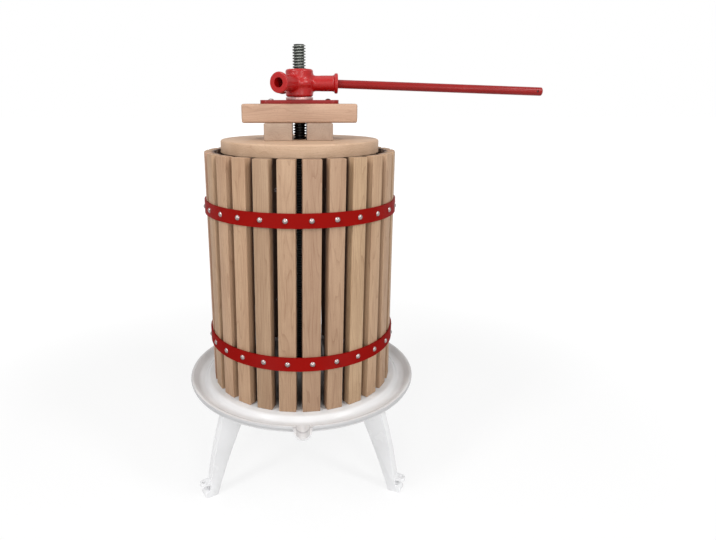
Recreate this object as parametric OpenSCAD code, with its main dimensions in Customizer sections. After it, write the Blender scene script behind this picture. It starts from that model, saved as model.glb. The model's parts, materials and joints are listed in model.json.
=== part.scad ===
// Basket press for fruit, standing on the floor plane with its spindle on the Z axis.
// Pieces round the axis are drawn toward the front, -Y, and turned from there to their place.

/* [Cage] */
// Number of staves round the cage
stave_count = 26; // [22:2:28]
// Width of a stave
stave_w = 23; // [19:0.5:25]
// Thickness of a stave
stave_t = 15; // [12:0.5:18]
// Length of a stave
stave_len = 360; // [350:5:400]
// Distance from the spindle's axis to the outer face of a stave
stave_out = 143.5; // [140:0.5:144.5]
// Chamfer along the edges of a stave
stave_chamfer = 1; // [0.5:0.25:2]
// Turn of the cage, which puts a gap almost at the front
cage_turn = -1.15; // [-6:0.05:6]

/* [Hoops] */
// Width of a steel hoop
hoop_w = 20; // [14:1:26]
// Thickness of a hoop
hoop_t = 2.5; // [1.5:0.5:4]
// Height of the lower hoop's middle above the foot of the staves
hoop_low = 75; // [50:5:110]
// Height of the upper hoop's middle above the foot of the staves
hoop_high = 280; // [240:5:320]
// Diameter of a rivet's shank
rivet_d = 5; // [3:0.5:6]
// Diameter of a rivet's domed head
rivet_head_d = 7.5; // [6:0.5:12]
// Height of a rivet's domed head
rivet_head_h = 2.1; // [1.5:0.1:3]
// Thickness of a rivet's flat end inside the cage
rivet_end_h = 1.2; // [0.8:0.1:2]

/* [Tray] */
// Thickness of the tray's sheet
tray_t = 2.5; // [1.5:0.25:3]
// Radius of the raised platform that carries the cage
platform_r = 157; // [156:0.5:158]
// Bend radius at the platform's edge
platform_edge_r = 6; // [5:0.5:7]
// Slope of the platform's side
platform_side = 50; // [46:1:54]
// Depth of the juice channel below the platform
channel_depth = 6.6; // [6:0.1:7]
// Bend radius at the foot of the platform's side
channel_inner_r = 6; // [5:0.5:6.5]
// Bend radius at the foot of the outer wall
channel_outer_r = 10; // [8:0.5:11]
// Slope of the outer wall
wall_slope = 38; // [36:1:40]
// Radius of the tray across its turned-down rim
rim_r = 182.3; // [181:0.1:186]
// Bend radius over the top of the rim
rim_fold_r = 3.2; // [3:0.1:4]
// Lean of the rim's skirt toward the tray
skirt_lean = 25; // [0:1:30]
// Length of the rim's skirt below its bend
skirt_len = 4.6; // [2:0.2:6]
// Rise of the rim above the platform
rim_rise = 0.8; // [0:0.1:3]

/* [Spout] */
// Outer width of the spout
spout_w = 24; // [22:1:30]
// Distance from the spindle's axis to the spout's lip
spout_reach = 197; // [194:1:210]
// Fall of the spout's floor
spout_fall = 2.5; // [0:0.5:5]
// Height of the lip's corners below the rim
spout_lip_drop = 1.5; // [0:0.5:3]
// Radius of the flare between rim and spout
spout_flare_r = 8; // [6:0.5:9]

/* [Legs] */
// Number of legs
leg_count = 3;
// Height of the tray's underside above the floor
leg_h = 175.2; // [150:1:220]
// Width of a leg's channel section
leg_w = 15; // [13:0.5:16]
// Wall of a leg
leg_wall = 4; // [3:0.5:4.5]
// Radius of a leg's outer face at the floor
leg_foot_r = 175.2; // [172:0.2:180]
// Radius of a leg's outer face under the tray
leg_top_r = 132.4; // [128:1:134]
// Depth of a leg's section at the floor
leg_foot_depth = 13.5; // [12:0.5:20]
// Depth of a leg's section under the tray
leg_top_depth = 49; // [44:1:54]
// Radius of the toe's round nose
toe_nose_r = 6; // [4:0.5:7]
// Distance from the leg's face to the fixing hole in the foot's lug
lug_out = 8.5; // [8:0.5:10]
// Radius of the lug's round end
lug_r = 6.5; // [5.5:0.5:8]
// Thickness of the lug
lug_t = 5; // [4:0.5:7]
// Height of the lug's underside above the floor
lug_z = 21; // [19:0.5:28]
// Diameter of the fixing hole
lug_hole_d = 6; // [4:0.5:7]
// Width of the leg's top plate
leg_plate_w = 44; // [42:1:50]
// Distance of each leg bolt from the leg's middle plane
leg_bolt_side = 14.5; // [13.5:0.5:15]
// Diameter of a leg bolt
leg_bolt_d = 6; // [5:0.5:6]

/* [Spindle] */
// Outer diameter of the spindle's thread
spindle_d = 20; // [16:0.5:20.5]
// Length of the spindle
spindle_len = 541; // [535:1:580]
// Chamfer at the spindle's ends
spindle_chamfer = 2; // [1:0.5:2.5]
// Width across the flats of the spindle's nuts
spindle_nut_af = 30; // [27:1:32]
// Height of the spindle's nuts
spindle_nut_h = 13; // [8:1:14]
// Diameter of the washer under the tray
spindle_washer_d = 38; // [34:1:44]
// Thickness of the washer
spindle_washer_t = 3; // [2:0.5:4]
// Length of spindle that stands out below its lower nut
spindle_tail = 9.2; // [4:0.2:12]

/* [Pressing stack] */
// Height of the pressing disc's underside above the platform, wound up
disc_lift = 359; // [357:0.5:361]
// Diameter of the pressing disc
disc_d = 238; // [220:1:244]
// Thickness of the pressing disc
disc_t = 18.5; // [16:0.5:24]
// Round-over of the disc's top edge
disc_round = 3; // [1:0.5:5]
// Length of a block, front to back
block_len = 100; // [80:1:120]
// Width of a block
block_w = 39; // [34:1:42]
// Height of a block
block_h = 24.3; // [18:0.1:30]
// Gap between the two blocks
block_gap = 21.6; // [21.6:0.2:26]
// Length of the beam across the blocks
beam_len = 169; // [140:1:190]
// Width of the beam, front to back
beam_w = 56; // [50:1:70]
// Height of the beam
beam_h = 27.3; // [20:0.1:34]
// Round-over along the beam's edges
beam_round = 3; // [1:0.5:5]
// Chamfer along the edges of the blocks
block_chamfer = 1.2; // [0.4:0.2:2]
// Length of the pressure plate
plate_len = 115.4; // [108:0.2:130]
// Width of the pressure plate
plate_w = 44; // [42:1:50]
// Thickness of the pressure plate
plate_t = 5.4; // [4:0.2:8]
// Corner radius of the pressure plate
plate_corner = 9; // [4:1:14]
// Distance of each plate screw from the spindle's axis
plate_screw_x = 42.6; // [38:0.2:44]
// Diameter of a plate screw
plate_screw_d = 4.5; // [3.5:0.5:5]
// Diameter of a plate screw's head
plate_screw_head_d = 9; // [7:0.5:10]
// Length of a plate screw below its head
plate_screw_len = 26; // [18:1:28]
// Outer diameter of the thrust ring
ring_d = 40.4; // [34:0.2:43]
// Thickness of the thrust ring
ring_t = 4; // [3:0.2:6]

/* [Head] */
// Diameter of the head's hub
hub_d = 41; // [38:0.2:42]
// Height of the hub
hub_h = 40; // [36:1:44]
// Round-over of the hub's top and bottom
hub_round = 4; // [2:0.5:5]
// Number of sockets for the bar
socket_count = 3;
// Direction of the socket that holds the bar, from the front toward +X
socket_turn = 89; // [60:1:120]
// Height of the sockets' axis above the hub's underside
socket_z = 19.5; // [18:0.5:22]
// Outer diameter of a socket's barrel
socket_barrel_d = 23; // [20:0.5:24]
// Bore of a socket
socket_bore_d = 14.2; // [13.6:0.1:15]
// Diameter of a socket's collar
socket_collar_d = 29.5; // [26:0.5:32]
// Length of a socket's collar
socket_collar_l = 4.5; // [4:0.5:10]
// Distance from the spindle's axis to a socket's mouth
socket_reach = 57; // [54:1:64]
// Distance from the spindle's axis to the bottom of a socket's bore
socket_floor = 13; // [12:0.5:15]

/* [Bar] */
// Diameter of the bar
bar_d = 12.5; // [11.5:0.1:12.7]
// Length of the bar
bar_len = 350; // [280:5:420]
// Round-over of the bar's outer end
bar_round = 2; // [1:0.5:4]
// Diameter of the cross hole near the bar's end
bar_hole_d = 3; // [2:0.5:5]
// Distance from the bar's end to the cross hole
bar_hole_in = 8; // [6:1:14]

/* [Hidden] */
$fn = 96;
fit_gap = 0.05;       // radial clearance of a shank in its hole
seat_gap = 0.3;       // gap where two loose pieces rest on each other
pass_gap = 0.6;       // radial clearance of a piece that slides along the spindle
bar_gap = 0.1;        // clearance left where the drooping bar touches its socket
bolt_gap = 0.25;      // radial clearance of a bolt in a plate
bar_end_gap = 1.5;    // gap between the bar's end and the bottom of its socket
cut = 1;              // how far a cutting solid reaches past what it cuts
bend_steps = 6;       // flats in each bend of the tray's section

// Heights of the stand, from the floor up
platform_z = leg_h + tray_t;
stave_z = platform_z + seat_gap;
channel_z = platform_z - channel_depth;
rim_z = platform_z + rim_rise;

// Heights of the pressing stack, from the disc up
disc_z = platform_z + disc_lift;
block_z = disc_z + disc_t;
beam_z = block_z + block_h;
plate_z = beam_z + beam_h;
ring_z = plate_z + plate_t;
hub_z = ring_z + ring_t + seat_gap;
bar_z = hub_z + socket_z;

// The cage
stave_pitch = 360 / stave_count;
stave_in = stave_out - stave_t;
hoop_in = norm([stave_out, stave_w / 2 - stave_chamfer]) + seat_gap / 2;
hoop_levels = [stave_z + hoop_low, stave_z + hoop_high];
lap_middle = round(stave_count / 2);
rivet_r = rivet_d / 2;
rivet_hole_r = rivet_r + fit_gap;

// The legs, as shares of the way from the floor to the tray
leg_plate_t = leg_wall;
leg_straight = 0.5;
leg_steps = 10;
function leg_outer(t) = leg_foot_r - (leg_foot_r - leg_top_r) * (leg_straight * t + (1 - leg_straight) * t * t);
function leg_inner(t) = leg_outer(t) - leg_foot_depth - (leg_top_depth - leg_foot_depth) * t;
leg_bolt_r = (leg_outer(1) + leg_inner(1)) / 2;
lug_hole_r = leg_outer(lug_z / leg_h) + lug_out;
bolt_head_d = 2.2 * leg_bolt_d;
bolt_head_h = 0.55 * leg_bolt_d;
bolt_nut_af = leg_bolt_d * 5 / 3;
bolt_nut_h = 0.8 * leg_bolt_d;
bolt_tail = leg_bolt_d / 2;

// The spindle and its bores
spindle_r = spindle_d / 2;
pass_r = spindle_r + pass_gap;
spindle_bottom = leg_h - spindle_washer_t - spindle_nut_h - spindle_tail;

// The bar droops until it touches its socket at both ends of the grip
grip = socket_reach - socket_floor - bar_end_gap;
bar_droop = atan((socket_bore_d - bar_d - 2 * bar_gap) / grip);
bar_pivot = socket_reach - grip / 2;

// Colours
beech = [0.80, 0.67, 0.54];
enamel = [0.93, 0.93, 0.92];
red_paint = [0.72, 0.10, 0.09];
steel = [0.62, 0.63, 0.62];

// Points on an arc about a centre, from one angle to another
function bend(centre, r, from, to) =
    [for (i = [0 : bend_steps]) let (a = from + (to - from) * i / bend_steps) centre + r * [cos(a), sin(a)]];

// Centres of the tray's bends, each tangent to the straight wall before it
edge_c = [platform_r - platform_edge_r, platform_z - platform_edge_r];
side_n = [cos(90 - platform_side), sin(90 - platform_side)];
side_len = (edge_c.y + (platform_edge_r + channel_inner_r) * side_n.y - channel_z - channel_inner_r) / side_n.x;
inner_c = edge_c + (platform_edge_r + channel_inner_r) * side_n + side_len * [side_n.y, -side_n.x];
wall_n = [-sin(wall_slope), cos(wall_slope)];
rim_c = [rim_r - rim_fold_r, rim_z - rim_fold_r];
wall_top = rim_c + (rim_fold_r + channel_outer_r) * wall_n;
wall_len = (wall_top.y - channel_z - channel_outer_r) / sin(wall_slope);
outer_c = wall_top - wall_len * [cos(wall_slope), sin(wall_slope)];

// The tray's sheet, at a depth below its upper face: from the platform to the wall, then over the rim
function dish_line(depth) = concat(
    bend(edge_c, platform_edge_r - depth, 90, 90 - platform_side),
    bend(inner_c, channel_inner_r + depth, 270 - platform_side, 270),
    bend(outer_c, channel_outer_r + depth, 270, 270 + wall_slope)
);
function rim_line(depth) = concat(
    bend(rim_c, rim_fold_r - depth, 90 + wall_slope, -skirt_lean),
    [rim_c + (rim_fold_r - depth) * [cos(skirt_lean), -sin(skirt_lean)]
        - skirt_len * [sin(skirt_lean), cos(skirt_lean)]]
);
function tray_line(depth) = concat(dish_line(depth), rim_line(depth));
function backwards(points) = [for (i = [len(points) - 1 : -1 : 0]) points[i]];

function stave_name(i) = str("stave_", i < 10 ? "0" : "", i);
function stave_turn(i) = cage_turn + (i - 0.5) * stave_pitch;

// Turns its children from the front to a direction round the axis
module turned(angle) {
    rotate([0, 0, angle]) children();
}

// Spreads an outline in radius and height to both sides of the front's middle plane
module radial_plate(thickness) {
    rotate([90, 0, -90]) linear_extrude(height = thickness, center = true) children();
}

// Points an outline's axis of revolution straight out to the front at a height
module pointing_out(z) {
    translate([0, 0, z]) rotate([90, 0, 0]) children();
}

// Rectangle about the origin with its four corners cut
module chamfered_rect(w, h, c) {
    polygon([
        [-w / 2 + c, -h / 2], [w / 2 - c, -h / 2], [w / 2, -h / 2 + c], [w / 2, h / 2 - c],
        [w / 2 - c, h / 2], [-w / 2 + c, h / 2], [-w / 2, h / 2 - c], [-w / 2, -h / 2 + c]
    ]);
}

// Rectangle about the origin with round corners
module rounded_rect(w, h, r) {
    square([w - 2 * r, h], center = true);
    square([w, h - 2 * r], center = true);
    for (x = [-1, 1], y = [-1, 1])
        translate([x * (w / 2 - r), y * (h / 2 - r)]) circle(r);
}

// Hexagonal nut with a round bore, its underside at z = 0
module nut(af, h, bore_r) {
    difference() {
        cylinder(d = af / cos(30), h = h, $fn = 6);
        translate([0, 0, -cut]) cylinder(r = bore_r, h = h + 2 * cut);
    }
}

// Where the leg bolts stand
module each_leg_bolt() {
    for (leg = [0 : leg_count - 1], side = [-1, 1])
        turned(60 + leg * 360 / leg_count) translate([side * leg_bolt_side, -leg_bolt_r, 0]) children();
}

// Round-bottomed trough of the spout, its floor on the channel's floor less a depth
module trough(width, depth) {
    translate([0, -outer_c.x, channel_z - depth]) rotate([90 + spout_fall, 0, 0])
        linear_extrude(height = spout_reach - outer_c.x + 2 * cut) {
            translate([0, width / 2]) circle(d = width);
            translate([-width / 2, width / 2]) square([width, channel_depth + rim_rise]);
        }
}

// Side outline of the spout: level with the rim, then down to the lip
module spout_side() {
    flare_end = rim_c.x + spout_flare_r;
    polygon([
        [outer_c.x, 0], [spout_reach, 0], [spout_reach, rim_z - spout_lip_drop], [flare_end, rim_z],
        [outer_c.x, rim_z]
    ]);
}

// One rolled corner between the rim and the spout's side, drawn on the +X side
module spout_flare() {
    translate([spout_w / 2 - tray_t / 2 + spout_flare_r, -rim_c.x - spout_flare_r, rim_z - tray_t])
        rotate([0, 0, 90]) rotate_extrude(angle = 90) translate([spout_flare_r, 0]) circle(tray_t);
}

module tray() {
    color(enamel) difference() {
        union() {
            rotate_extrude() polygon(concat(
                [[spindle_r + bolt_gap, platform_z]], tray_line(0),
                backwards(tray_line(tray_t)), [[spindle_r + bolt_gap, leg_h]]
            ));
            difference() {
                intersection() {
                    trough(spout_w, tray_t);
                    radial_plate(spout_w + 2 * cut) spout_side();
                }
                rotate_extrude() polygon(concat(
                    dish_line(0), [rim_c + rim_fold_r * wall_n, [rim_c.x, rim_z + cut], [edge_c.x, rim_z + cut]]
                ));
            }
            spout_flare();
            mirror([1, 0, 0]) spout_flare();
        }
        trough(spout_w - 2 * tray_t, 0);
        each_leg_bolt() translate([0, 0, leg_h - cut]) cylinder(d = leg_bolt_d + 2 * bolt_gap, h = tray_t + 2 * cut);
    }
}

// Leg in side view: bowed outer face, deeper toward the tray, a round toe below
module leg_outline() {
    polygon(concat(
        [for (i = [0 : leg_steps]) let (t = i / leg_steps) [leg_outer(t), t * leg_h]],
        [for (i = [leg_steps : -1 : 0]) let (t = i / leg_steps) [leg_inner(t), t * leg_h]]
    ));
    translate([leg_outer(0) + toe_nose_r / 4, toe_nose_r]) circle(toe_nose_r);
}

// Hollow of the leg's channel, open toward the spindle
module leg_hollow() {
    foot = 2 * toe_nose_r / leg_h;
    polygon(concat(
        [for (i = [0 : leg_steps])
            let (t = foot + (1 - foot) * i / leg_steps)
            [leg_outer(t) - leg_wall, t * leg_h - leg_plate_t * i / leg_steps]],
        [[leg_inner(1) - cut, leg_h - leg_plate_t], [leg_inner(1) - cut, foot * leg_h]]
    ));
}

module leg() {
    color(enamel) difference() {
        union() {
            difference() {
                radial_plate(leg_w) leg_outline();
                radial_plate(leg_w - 2 * leg_wall) leg_hollow();
            }
            translate([0, -leg_bolt_r, leg_h - leg_plate_t])
                linear_extrude(height = leg_plate_t)
                    rounded_rect(leg_plate_w, leg_top_depth, leg_wall);
            translate([0, -lug_hole_r, lug_z]) linear_extrude(height = lug_t) {
                circle(lug_r);
                translate([-lug_r, 0]) square([2 * lug_r, lug_out + leg_wall / 2]);
            }
        }
        translate([0, -lug_hole_r, lug_z - cut]) cylinder(d = lug_hole_d, h = lug_t + 2 * cut);
        for (side = [-1, 1])
            translate([side * leg_bolt_side, -leg_bolt_r, leg_h - leg_plate_t - cut])
                cylinder(d = leg_bolt_d + 2 * bolt_gap, h = leg_plate_t + 2 * cut);
    }
}

module leg_left() {
    turned(-60) leg();
}

module leg_right() {
    turned(60) leg();
}

module leg_rear() {
    turned(180) leg();
}

// Domed bolts through the platform and the legs' top plates
module leg_bolts() {
    head_r = bolt_head_d / 2;
    dome_r = (head_r * head_r + bolt_head_h * bolt_head_h) / (2 * bolt_head_h);
    shank = tray_t + leg_plate_t + bolt_nut_h + bolt_tail;
    color(steel) each_leg_bolt() translate([0, 0, platform_z]) rotate_extrude() {
        translate([0, -shank]) square([leg_bolt_d / 2, shank + bolt_head_h / 3]);
        intersection() {
            translate([0, bolt_head_h - dome_r]) circle(dome_r);
            square([head_r, bolt_head_h]);
        }
    }
}

module leg_nuts() {
    color(steel) each_leg_bolt() translate([0, 0, leg_h - leg_plate_t - bolt_nut_h])
        nut(bolt_nut_af, bolt_nut_h, leg_bolt_d / 2 + fit_gap);
}

module spindle() {
    top = spindle_bottom + spindle_len;
    c = spindle_chamfer;
    color(steel) rotate_extrude() polygon([
        [0, spindle_bottom], [spindle_r - c, spindle_bottom], [spindle_r, spindle_bottom + c],
        [spindle_r, top - c], [spindle_r - c, top], [0, top]
    ]);
}

module spindle_nut_top() {
    color(steel) translate([0, 0, platform_z]) nut(spindle_nut_af, spindle_nut_h, spindle_r + fit_gap);
}

module spindle_washer() {
    color(steel) translate([0, 0, leg_h - spindle_washer_t]) difference() {
        cylinder(d = spindle_washer_d, h = spindle_washer_t);
        translate([0, 0, -cut]) cylinder(r = spindle_r + bolt_gap, h = spindle_washer_t + 2 * cut);
    }
}

module spindle_nut_bottom() {
    color(steel) translate([0, 0, leg_h - spindle_washer_t - spindle_nut_h])
        nut(spindle_nut_af, spindle_nut_h, spindle_r + fit_gap);
}

// One upright stave, drilled for a rivet at each hoop
module stave(i) {
    color(beech) turned(stave_turn(i)) difference() {
        translate([0, -stave_out + stave_t / 2, stave_z]) linear_extrude(height = stave_len)
            chamfered_rect(stave_w, stave_t, stave_chamfer);
        for (z = hoop_levels)
            pointing_out(z) translate([0, 0, stave_in - cut])
                cylinder(r = rivet_hole_r, h = stave_t + 2 * cut);
    }
}

// A stave whose rivets go through the overlap of the hoops' ends
function under_lap(i) = abs(i - 0.5 - lap_middle) < 1;

// Riveted hoop: a band round the staves whose ends overlap across two staves at the back
module hoop(z) {
    lap_start = cage_turn + (lap_middle - 1) * stave_pitch;
    color(red_paint) difference() {
        union() {
            rotate_extrude() translate([hoop_in, z - hoop_w / 2]) square([hoop_t, hoop_w]);
            turned(lap_start - 90) rotate_extrude(angle = 2 * stave_pitch)
                translate([hoop_in, z - hoop_w / 2]) square([2 * hoop_t, hoop_w]);
        }
        for (i = [1 : stave_count])
            turned(stave_turn(i)) pointing_out(z) translate([0, 0, stave_out])
                cylinder(r = rivet_hole_r, h = 2 * hoop_t + hoop_in - stave_out + cut);
    }
}

module hoop_upper() {
    hoop(hoop_levels[1]);
}

module hoop_lower() {
    hoop(hoop_levels[0]);
}

// One rivet per stave: domed outside the hoop, clinched flat inside the cage
module rivets(z) {
    head_r = rivet_head_d / 2;
    dome_r = (head_r * head_r + rivet_head_h * rivet_head_h) / (2 * rivet_head_h);
    color(steel) for (i = [1 : stave_count]) {
        seat = hoop_in + (under_lap(i) ? 2 : 1) * hoop_t;
        turned(stave_turn(i)) pointing_out(z) rotate_extrude() {
            translate([0, stave_in - rivet_end_h])
                square([rivet_r, seat + rivet_head_h / 3 - stave_in + rivet_end_h]);
            translate([0, stave_in - rivet_end_h]) square([head_r, rivet_end_h]);
            intersection() {
                translate([0, seat + rivet_head_h - dome_r]) circle(dome_r);
                translate([0, seat]) square([head_r, rivet_head_h]);
            }
        }
    }
}

module rivets_upper() {
    rivets(hoop_levels[1]);
}

module rivets_lower() {
    rivets(hoop_levels[0]);
}

module thrust_ring() {
    color([0.80, 0.80, 0.80]) translate([0, 0, ring_z]) difference() {
        cylinder(d = ring_d, h = ring_t);
        translate([0, 0, -cut]) cylinder(r = pass_r, h = ring_t + 2 * cut);
    }
}

module pressure_plate() {
    color(red_paint) translate([0, 0, plate_z]) linear_extrude(height = plate_t) difference() {
        rounded_rect(plate_len, plate_w, plate_corner);
        circle(pass_r);
        for (side = [-1, 1])
            translate([side * plate_screw_x, 0]) circle(plate_screw_d / 2 + fit_gap);
    }
}

// Wood screws that hold the plate to the beam
module plate_screws() {
    head_r = plate_screw_head_d / 2;
    head_h = head_r / 2;
    dome_r = (head_r * head_r + head_h * head_h) / (2 * head_h);
    color(steel) for (side = [-1, 1]) translate([side * plate_screw_x, 0, ring_z]) rotate_extrude() {
        translate([0, -plate_screw_len]) square([plate_screw_d / 2, plate_screw_len + head_h / 3]);
        intersection() {
            translate([0, head_h - dome_r]) circle(dome_r);
            square([head_r, head_h]);
        }
    }
}

module beam() {
    color(beech) difference() {
        translate([-beam_len / 2, 0, beam_z + beam_h / 2]) rotate([90, 0, 90])
            linear_extrude(height = beam_len) rounded_rect(beam_w, beam_h, beam_round);
        translate([0, 0, beam_z - cut]) cylinder(r = pass_r, h = beam_h + 2 * cut);
        for (side = [-1, 1])
            translate([side * plate_screw_x, 0, ring_z - plate_screw_len - fit_gap])
                cylinder(r = plate_screw_d / 2 + fit_gap, h = plate_screw_len);
    }
}

module block_left() {
    color(beech) translate([-(block_gap + block_w) / 2, block_len / 2, block_z + block_h / 2])
        rotate([90, 0, 0]) linear_extrude(height = block_len) chamfered_rect(block_w, block_h, block_chamfer);
}

module block_right() {
    mirror([1, 0, 0]) block_left();
}

// Half of the pressing disc, split from left to right, drawn on the front side
module disc_half() {
    disc_r = disc_d / 2;
    color(beech) turned(180) rotate_extrude(angle = 180) translate([0, disc_z]) {
        translate([pass_r, 0]) square([disc_r - pass_r, disc_t - disc_round]);
        translate([pass_r, 0]) square([disc_r - disc_round - pass_r, disc_t]);
        translate([disc_r - disc_round, disc_t - disc_round]) circle(disc_round);
    }
}

module disc_front() {
    disc_half();
}

module disc_rear() {
    turned(180) disc_half();
}

// One socket of the head: barrel, hollow flare and collar
module socket() {
    barrel_r = socket_barrel_d / 2;
    collar_r = socket_collar_d / 2;
    collar_start = socket_reach - socket_collar_l;
    flare = collar_r - barrel_r;
    lip = flare / 3;
    pointing_out(socket_z) rotate_extrude() polygon(concat(
        [[0, 0], [barrel_r, 0]],
        bend([collar_r, collar_start - flare], flare, 180, 90),
        [[collar_r, socket_reach - lip], [collar_r - lip, socket_reach], [0, socket_reach]]
    ));
}

// Cast head: a hub that screws along the spindle, with sockets for the bar
module head() {
    hub_r = hub_d / 2;
    color([0.82, 0.13, 0.12]) translate([0, 0, hub_z]) difference() {
        union() {
            rotate_extrude() {
                square([hub_r - hub_round, hub_h]);
                translate([0, hub_round]) square([hub_r, hub_h - 2 * hub_round]);
                for (z = [hub_round, hub_h - hub_round])
                    translate([hub_r - hub_round, z]) circle(hub_round);
            }
            for (k = [0 : socket_count - 1])
                turned(socket_turn + k * 360 / socket_count) socket();
        }
        translate([0, 0, -cut]) cylinder(r = spindle_r + fit_gap, h = hub_h + 2 * cut);
        for (k = [0 : socket_count - 1])
            turned(socket_turn + k * 360 / socket_count) pointing_out(socket_z)
                translate([0, 0, socket_floor])
                    cylinder(d = socket_bore_d, h = socket_reach - socket_floor + cut);
    }
}

// Round steel bar that droops in its socket
module lever_bar() {
    bar_r = bar_d / 2;
    color([0.66, 0.11, 0.11]) turned(socket_turn) translate([0, -bar_pivot, bar_z])
        rotate([90 + bar_droop, 0, 0]) translate([0, 0, -grip / 2]) difference() {
            rotate_extrude() {
                square([bar_r, bar_len - bar_round]);
                square([bar_r - bar_round, bar_len]);
                translate([bar_r - bar_round, bar_len - bar_round]) circle(bar_round);
            }
            translate([-bar_r - cut, 0, bar_len - bar_hole_in]) rotate([0, 90, 0])
                cylinder(d = bar_hole_d, h = bar_d + 2 * cut);
        }
}

tray();
leg_left();
leg_right();
leg_rear();
leg_bolts();
leg_nuts();
spindle();
spindle_nut_top();
spindle_washer();
spindle_nut_bottom();
for (i = [1 : stave_count])
    stave(i);
hoop_upper();
hoop_lower();
rivets_upper();
rivets_lower();
thrust_ring();
pressure_plate();
plate_screws();
beam();
block_left();
block_right();
disc_front();
disc_rear();
head();
lever_bar();
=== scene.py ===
import json
import math
import random

import bmesh
import bpy
from mathutils import Matrix, Vector


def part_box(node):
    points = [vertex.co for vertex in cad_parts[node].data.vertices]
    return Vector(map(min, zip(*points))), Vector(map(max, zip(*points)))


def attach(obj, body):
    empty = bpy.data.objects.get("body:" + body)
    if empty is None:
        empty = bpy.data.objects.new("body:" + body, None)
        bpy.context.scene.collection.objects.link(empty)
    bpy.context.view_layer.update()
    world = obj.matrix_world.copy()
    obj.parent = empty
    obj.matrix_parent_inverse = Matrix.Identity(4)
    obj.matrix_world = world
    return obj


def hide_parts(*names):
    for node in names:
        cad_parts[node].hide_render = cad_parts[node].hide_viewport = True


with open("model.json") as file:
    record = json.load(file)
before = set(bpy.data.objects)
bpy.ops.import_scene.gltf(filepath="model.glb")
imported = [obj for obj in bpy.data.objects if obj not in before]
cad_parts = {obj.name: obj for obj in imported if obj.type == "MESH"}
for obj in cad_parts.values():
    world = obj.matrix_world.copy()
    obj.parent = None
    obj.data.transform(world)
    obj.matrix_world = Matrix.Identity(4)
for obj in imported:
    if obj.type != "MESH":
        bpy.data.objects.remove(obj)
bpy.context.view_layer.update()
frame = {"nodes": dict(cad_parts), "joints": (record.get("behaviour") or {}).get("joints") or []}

scene = bpy.context.scene
scene.view_settings.view_transform = "Standard"
nodes = frame["nodes"]
mm = 0.001
rng = random.Random(18)
print("frame loaded with", len(nodes), "nodes")


# camera, where the photographer stood
camera = {
    "place": (0.0, -851.9 * mm, 610.1 * mm),
    "panRight": 2.397,  # degrees
    "tiltDown": 13.987,  # degrees
    "lens": 27.75,  # millimetres on the sensor below
    "sensorWidth": 36,
    "shiftX": 0.0484,
    "shiftY": -0.0434,
    "clip": (0.01, 60),
}


def buildCamera():
    data = bpy.data.cameras.new("studioCamera")
    data.sensor_width = camera["sensorWidth"]
    data.sensor_fit = "HORIZONTAL"
    data.lens = camera["lens"]
    data.shift_x = camera["shiftX"]
    data.shift_y = camera["shiftY"]
    data.clip_start, data.clip_end = camera["clip"]
    holder = bpy.data.objects.new("studioCamera", data)
    holder.location = camera["place"]
    holder.rotation_euler = (
        math.radians(90 - camera["tiltDown"]),
        0,
        math.radians(-camera["panRight"]),
    )
    scene.collection.objects.link(holder)
    scene.camera = holder
    print("camera placed")


# studio: pale floor, white world and soft lamps
studio = {
    "white": (1, 1, 1, 1),
    "floorSize": 40.0,
    "floorColor": (0.70, 0.70, 0.70, 1),
    "floorWhite": 1.12,  # strength of the plain white that the floor turns to
    "floorGlow": (0.74, 1.0),  # share of that white to the camera, near and far
    "floorReach": (0.5, 1.4),  # metres from the middle that count as near and far
    "worldFill": 0.2,
    "worldWhite": 1.0,
    "aim": (0, 0, 0.38),
    "lamps": [
        # name, place, width, height, watts
        ("keySoftbox", (-1.4, -1.2, 1.9), 0.45, 1.3, 24.5),
        ("sideSoftbox", (1.6, -1.2, 1.95), 0.45, 1.2, 24.5),
        ("topSoftbox", (-0.2, -0.2, 2.3), 1.3, 1.3, 6.2),
        ("leftStrip", (-0.66, -2.15, 1.0), 0.36, 1.2, 11),
        ("rightStrip", (0.78, -2.1, 1.0), 0.36, 1.2, 12.6),
    ],
}


def seenDirectly(tree):
    # 1 where the camera sees a surface straight, in a mirror or through glass
    path = tree.nodes.new("ShaderNodeLightPath")
    first = tree.nodes.new("ShaderNodeMath")
    first.operation = "MAXIMUM"
    tree.links.new(path.outputs["Is Camera Ray"], first.inputs[0])
    tree.links.new(path.outputs["Is Glossy Ray"], first.inputs[1])
    second = tree.nodes.new("ShaderNodeMath")
    second.operation = "MAXIMUM"
    tree.links.new(first.outputs[0], second.inputs[0])
    tree.links.new(path.outputs["Is Transmission Ray"], second.inputs[1])
    return second.outputs[0]


def buildWorld():
    # white where it is seen, and a weaker fill where it lights the object
    world = bpy.data.worlds.new("studioWorld")
    world.use_nodes = True
    scene.world = world
    tree = world.node_tree
    tree.nodes.clear()
    fill = tree.nodes.new("ShaderNodeBackground")
    fill.inputs["Color"].default_value = studio["white"]
    fill.inputs["Strength"].default_value = studio["worldFill"]
    shown = tree.nodes.new("ShaderNodeBackground")
    shown.inputs["Color"].default_value = studio["white"]
    shown.inputs["Strength"].default_value = studio["worldWhite"]
    mix = tree.nodes.new("ShaderNodeMixShader")
    out = tree.nodes.new("ShaderNodeOutputWorld")
    tree.links.new(seenDirectly(tree), mix.inputs[0])
    tree.links.new(fill.outputs[0], mix.inputs[1])
    tree.links.new(shown.outputs[0], mix.inputs[2])
    tree.links.new(mix.outputs[0], out.inputs[0])


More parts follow.
